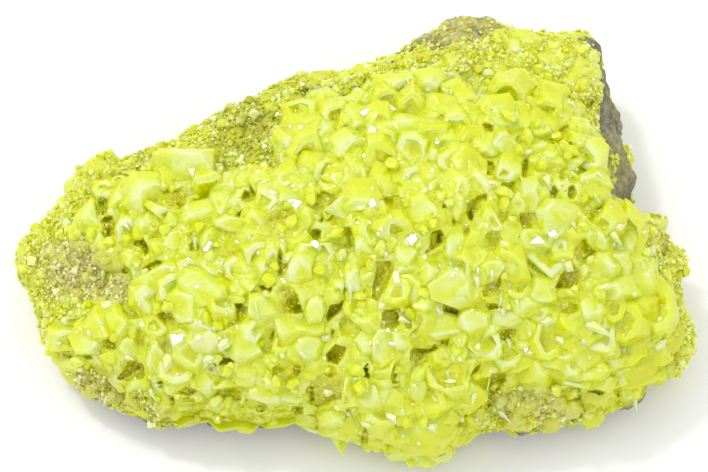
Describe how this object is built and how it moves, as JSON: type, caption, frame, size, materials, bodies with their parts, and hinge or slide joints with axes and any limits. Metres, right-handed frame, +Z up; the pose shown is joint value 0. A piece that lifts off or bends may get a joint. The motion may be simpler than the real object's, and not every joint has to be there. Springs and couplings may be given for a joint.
{
  "type": "native sulfur crystal specimen on matrix",
  "caption": "Lemon-yellow crust of fused, hollow-faced native sulfur crystals grown over a flat-lying plate of grey-brown volcanic rock.",
  "frame": {"origin": "centre of the bounding box's base, on the surface the specimen rests on", "axes": "+Z up out of the crystal crust, +X along the plate's length, +Y towards the side that stands highest above the base"},
  "size_m": [0.106, 0.0724, 0.0315],
  "materials": {
    "matrix_rock": "rough, granular",
    "sulfur_crust": "resinous, translucent"
  },
  "bodies": {
    "root": {"matrix_rock": "matrix_rock", "sulfur_crust": "sulfur_crust"}
  },
  "joints": []
}
